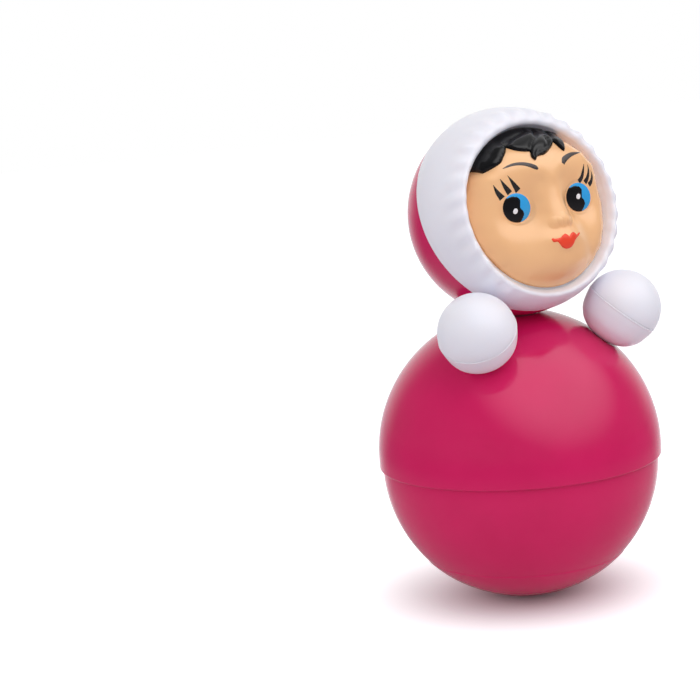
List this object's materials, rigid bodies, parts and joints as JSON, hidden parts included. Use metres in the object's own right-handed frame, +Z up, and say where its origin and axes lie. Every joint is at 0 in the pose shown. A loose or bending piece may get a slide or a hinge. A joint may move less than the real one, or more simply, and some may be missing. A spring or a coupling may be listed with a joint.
{
  "type": "roly poly toy",
  "caption": "Roly poly doll: weighted ball body that rights itself, turning head in a fur hood with a doll's face, ball hands on pins, and a chime with a swinging clapper inside.",
  "frame": {"origin": "centre of the small flat foot under the body, on the surface that the doll stands on", "axes": "+Z up through the body and the head, the face looks toward -Y, the doll's left hand is on the +X side"},
  "size_m": [0.0912, 0.0912, 0.1578],
  "materials": {
    "raspberry_plastic": "glossy moulded plastic",
    "white_plastic": "satin moulded plastic",
    "face_plastic": "glossy moulded plastic, painted",
    "black_paint": "glossy black paint on the hair, eyes, brows and lashes",
    "blue_paint": "glossy blue paint on the eyes",
    "white_paint": "white paint dots on the eyes",
    "red_paint": "red paint on the lips",
    "ballast_iron": "rough cast",
    "chime_steel": "drawn and plated",
    "clapper_brass": "turned"
  },
  "bodies": {
    "body": {"body_lower_shell": "raspberry_plastic", "body_upper_shell": "raspberry_plastic", "ballast_weight": "ballast_iron", "ballast_screws": "chime_steel", "chime_base": "chime_steel", "chime_rod_1": "chime_steel", "chime_rod_2": "chime_steel", "chime_rod_3": "chime_steel", "chime_rod_4": "chime_steel", "chime_rod_5": "chime_steel", "chime_rod_6": "chime_steel", "chime_rod_7": "chime_steel", "chime_rod_8": "chime_steel", "clapper_hanger": "chime_steel", "hanger_screws": "chime_steel", "neck_sleeve": "white_plastic", "neck_ring": "chime_steel"},
    "head": {"head_rear_shell": "raspberry_plastic", "hood_trim": "white_plastic", "face_mask": "face_plastic"},
    "left_hand": {"left_hand_outer": "white_plastic", "left_hand_inner": "white_plastic", "left_hand_pin": "chime_steel", "left_hand_clip": "chime_steel"},
    "right_hand": {"right_hand_outer": "white_plastic", "right_hand_inner": "white_plastic", "right_hand_pin": "chime_steel", "right_hand_clip": "chime_steel"},
    "clapper_link": {"clapper_link": "clapper_brass"},
    "clapper": {"clapper_pin": "chime_steel", "clapper_stem": "chime_steel", "clapper_bob": "clapper_brass"}
  },
  "joints": [
    {"name": "head_turn", "type": "hinge", "parent": "body", "child": "head", "pos_m": [0, -0.0043, 0.0915], "axis": [0, 0, 1], "continuous": true},
    {"name": "left_hand_spin", "type": "hinge", "parent": "body", "child": "left_hand", "pos_m": [0.02794, -0.02222, 0.09167], "axis": [0.4927, -0.3919, 0.7769], "continuous": true},
    {"name": "right_hand_spin", "type": "hinge", "parent": "body", "child": "right_hand", "pos_m": [-0.02794, -0.02222, 0.09167], "axis": [-0.4927, -0.3919, 0.7769], "continuous": true},
    {"name": "clapper_swing_front", "type": "hinge", "parent": "body", "child": "clapper_link", "pos_m": [0, 0, 0.05792], "axis": [1, 0, 0], "range_deg": [-12, 12]},
    {"name": "clapper_swing_side", "type": "hinge", "parent": "clapper_link", "child": "clapper", "pos_m": [0, 0, 0.05792], "axis": [0, 1, 0], "range_deg": [-12, 12]}
  ]
}
